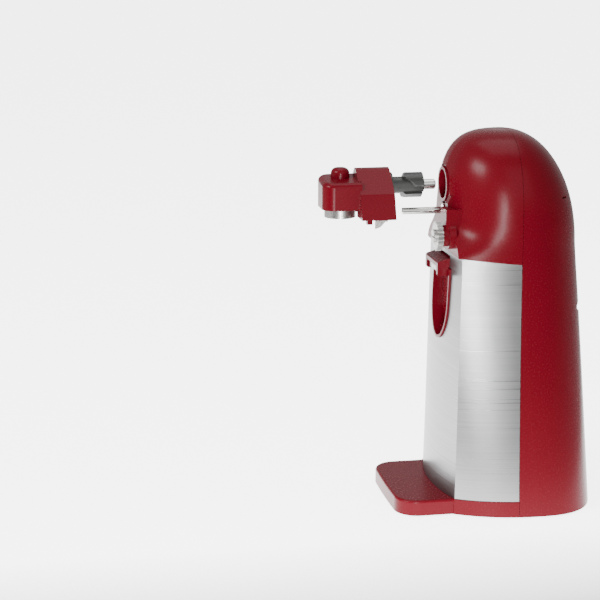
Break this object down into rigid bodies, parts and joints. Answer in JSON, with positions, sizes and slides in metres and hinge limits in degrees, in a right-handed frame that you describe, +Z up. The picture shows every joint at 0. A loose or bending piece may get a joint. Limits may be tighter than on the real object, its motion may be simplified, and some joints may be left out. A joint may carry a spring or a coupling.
{
  "type": "electric can opener",
  "caption": "Upright electric can opener with a domed two-part casing, steel front panel, foot plate, bottle opener, rear knife sharpener and a pull-out cutting head.",
  "frame": {"origin": "on the floor, in the seam plane between the front and rear shells and in the middle of the width", "axes": "+Z up, -Y is the front with the foot plate and drive wheel, +X is the side of the drive wheel"},
  "size_m": [0.1086, 0.1726, 0.2347],
  "materials": {
    "red_plastic": "high gloss",
    "brushed_panel": "fine horizontal brushing",
    "steel": "plain machined",
    "blade_steel": "satin",
    "grey_plastic": "satin",
    "black_plastic": "satin",
    "rubber": "matt",
    "white_nylon": "satin",
    "laminations": "matt",
    "copper_wire": "enamelled",
    "bronze": "sintered",
    "abrasive": "coarse",
    "magnet_ceramic": "matt"
  },
  "bodies": {
    "housing": {"front_shell": "red_plastic", "rear_shell": "red_plastic", "steel_panel": "brushed_panel", "bottle_opener": "red_plastic", "bottle_claw": "blade_steel", "base_cover": "black_plastic", "rubber_feet": "rubber", "base_screws": "steel", "housing_screws": "steel", "sharpener_guide": "red_plastic", "cord_gland": "rubber", "terminal_block": "white_nylon", "guide_rod": "steel", "rod_washer": "steel", "drive_bush": "bronze", "front_gear_plate": "steel", "rear_gear_plate": "steel", "plate_posts": "steel", "plate_screws": "steel", "gear_axles": "steel", "stator": "laminations", "motor_coil": "copper_wire", "front_motor_bracket": "steel", "rear_motor_bracket": "steel", "motor_bearings": "bronze", "switch_body": "black_plastic", "lever_spring": "steel"},
    "rotor": {"rotor": "laminations", "rotor_shaft": "steel", "motor_pinion": "bronze", "cooling_fan": "white_nylon", "grinding_wheel": "abrasive"},
    "first_reduction": {"first_gear": "white_nylon"},
    "second_reduction": {"second_gear": "white_nylon"},
    "drive": {"output_gear": "white_nylon", "drive_shaft": "steel", "drive_wheel": "blade_steel", "drive_wheel_screw": "blade_steel"},
    "socket": {"pivot_socket": "red_plastic", "socket_retainer": "steel"},
    "head": {"head_shell": "red_plastic", "bayonet_shaft": "grey_plastic", "shaft_pin": "steel", "cutter_blade": "blade_steel", "blade_screw": "steel", "spring_seat": "black_plastic", "button_spring": "steel"},
    "button": {"release_button": "red_plastic", "magnet_post": "steel", "magnet_cup": "blade_steel", "magnet": "magnet_ceramic"},
    "switch": {"switch_plunger": "white_nylon"}
  },
  "joints": [
    {"name": "motor_spin", "type": "hinge", "parent": "housing", "child": "rotor", "pos_m": [0, 0, 0.126], "axis": [0, 1, 0], "continuous": true},
    {"name": "first_gear_spin", "type": "hinge", "parent": "housing", "child": "first_reduction", "pos_m": [-0.01345, 0, 0.14684], "axis": [0, 1, 0], "continuous": true},
    {"name": "second_gear_spin", "type": "hinge", "parent": "housing", "child": "second_reduction", "pos_m": [0.00501, 0, 0.16369], "axis": [0, 1, 0], "continuous": true},
    {"name": "drive_wheel_spin", "type": "hinge", "parent": "housing", "child": "drive", "pos_m": [0.021, 0, 0.173], "axis": [0, 1, 0], "continuous": true},
    {"name": "head_lift", "type": "hinge", "parent": "housing", "child": "socket", "pos_m": [0, -0.02, 0.2015], "axis": [0, -1, 0], "range_deg": [-3, 30]},
    {"name": "head_pull_out", "type": "slide", "parent": "socket", "child": "head", "axis": [0, 1, 0], "range_m": [-0.04, 0.0281]},
    {"name": "button_press", "type": "slide", "parent": "head", "child": "button", "axis": [0, 0, 1], "range_m": [-0.004, 0], "stiffness_N_per_m": 400, "springref_m": 0.002, "deforming": ["button_spring"]},
    {"name": "switch_press", "type": "slide", "parent": "housing", "child": "switch", "axis": [0, 0, 1], "range_m": [0, 0.0015], "stiffness_N_per_m": 300, "springref_m": -0.001}
  ],
  "couplings": [
    {"joint": "first_gear_spin", "follows": "motor_spin", "ratio": -0.24},
    {"joint": "second_gear_spin", "follows": "motor_spin", "ratio": 0.075789},
    {"joint": "drive_wheel_spin", "follows": "motor_spin", "ratio": -0.036379}
  ]
}
